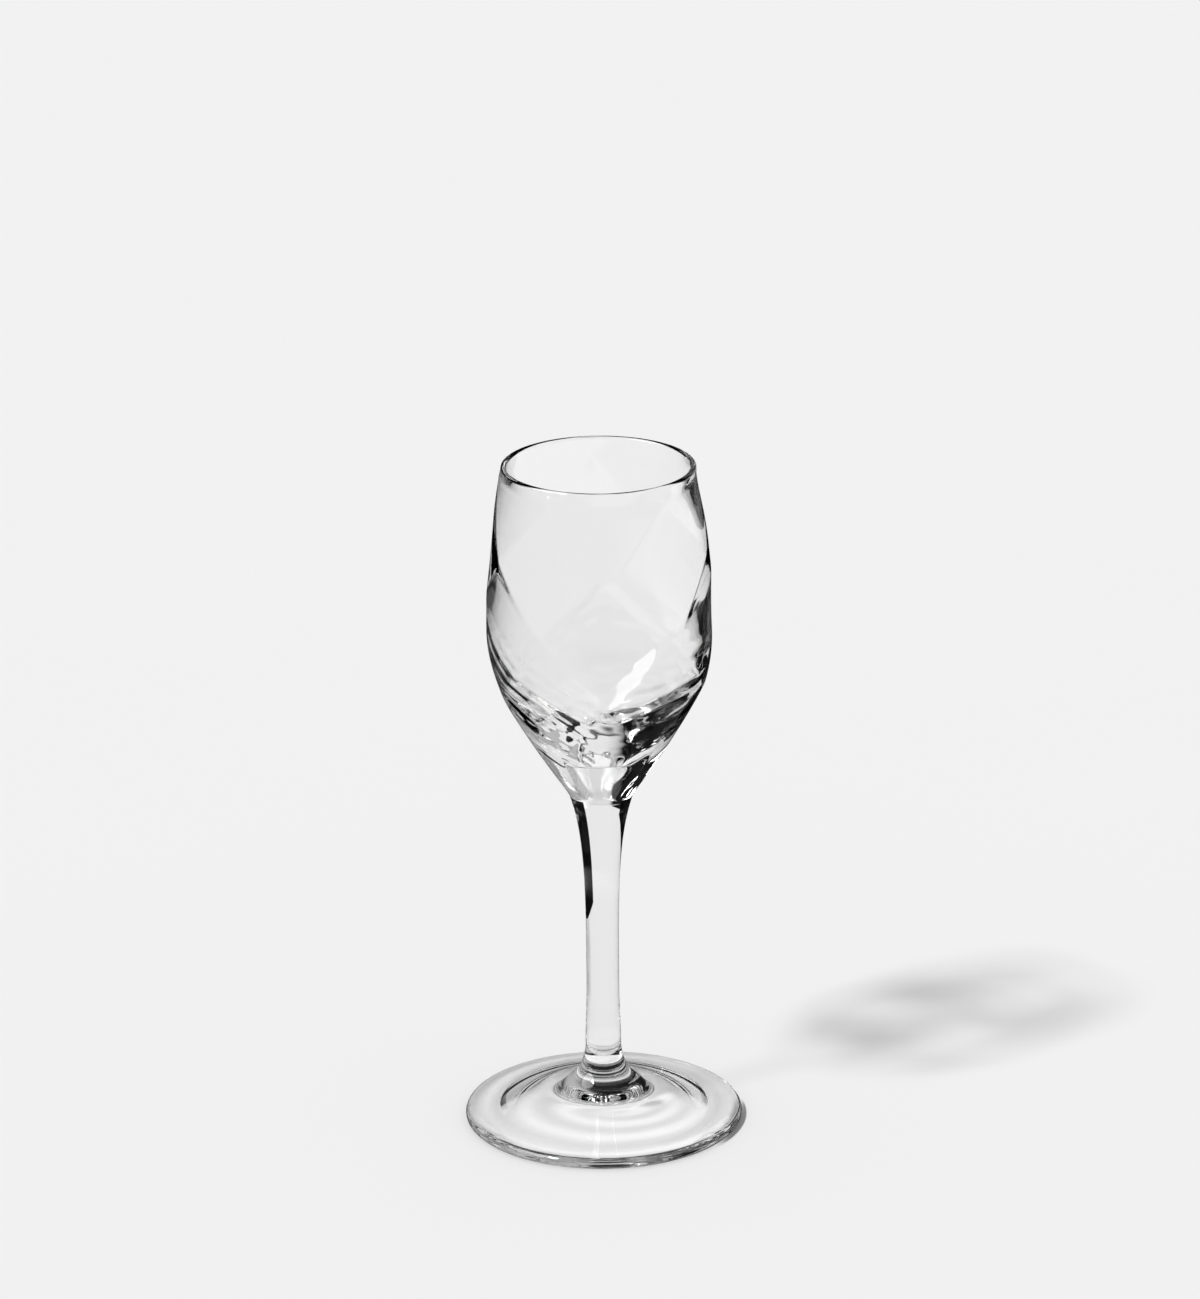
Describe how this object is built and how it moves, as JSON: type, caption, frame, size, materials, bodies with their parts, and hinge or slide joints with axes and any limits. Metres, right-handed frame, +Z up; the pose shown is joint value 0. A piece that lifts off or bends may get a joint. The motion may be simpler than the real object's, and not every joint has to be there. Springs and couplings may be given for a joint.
{
  "type": "stemmed vodka glass",
  "caption": "Clear stemmed vodka glass: a small tulip bowl with a soft facet optic and thick base, a slim drawn stem and a round foot that stands on a ring.",
  "frame": {"origin": "on the table, under the middle of the foot", "axes": "+Z up along the stem to the rim; +X to the right and +Y away from the viewer of the picture"},
  "size_m": [0.0586, 0.0586, 0.145],
  "materials": {
    "blown_crystal": "mould-blown with a soft facet optic, fire-polished lip",
    "drawn_crystal": "drawn while hot, fire-polished",
    "spun_crystal": "spun while hot, faint rings, fire-polished edge"
  },
  "bodies": {
    "root": {"bowl": "blown_crystal", "stem": "drawn_crystal", "foot": "spun_crystal"}
  },
  "joints": []
}
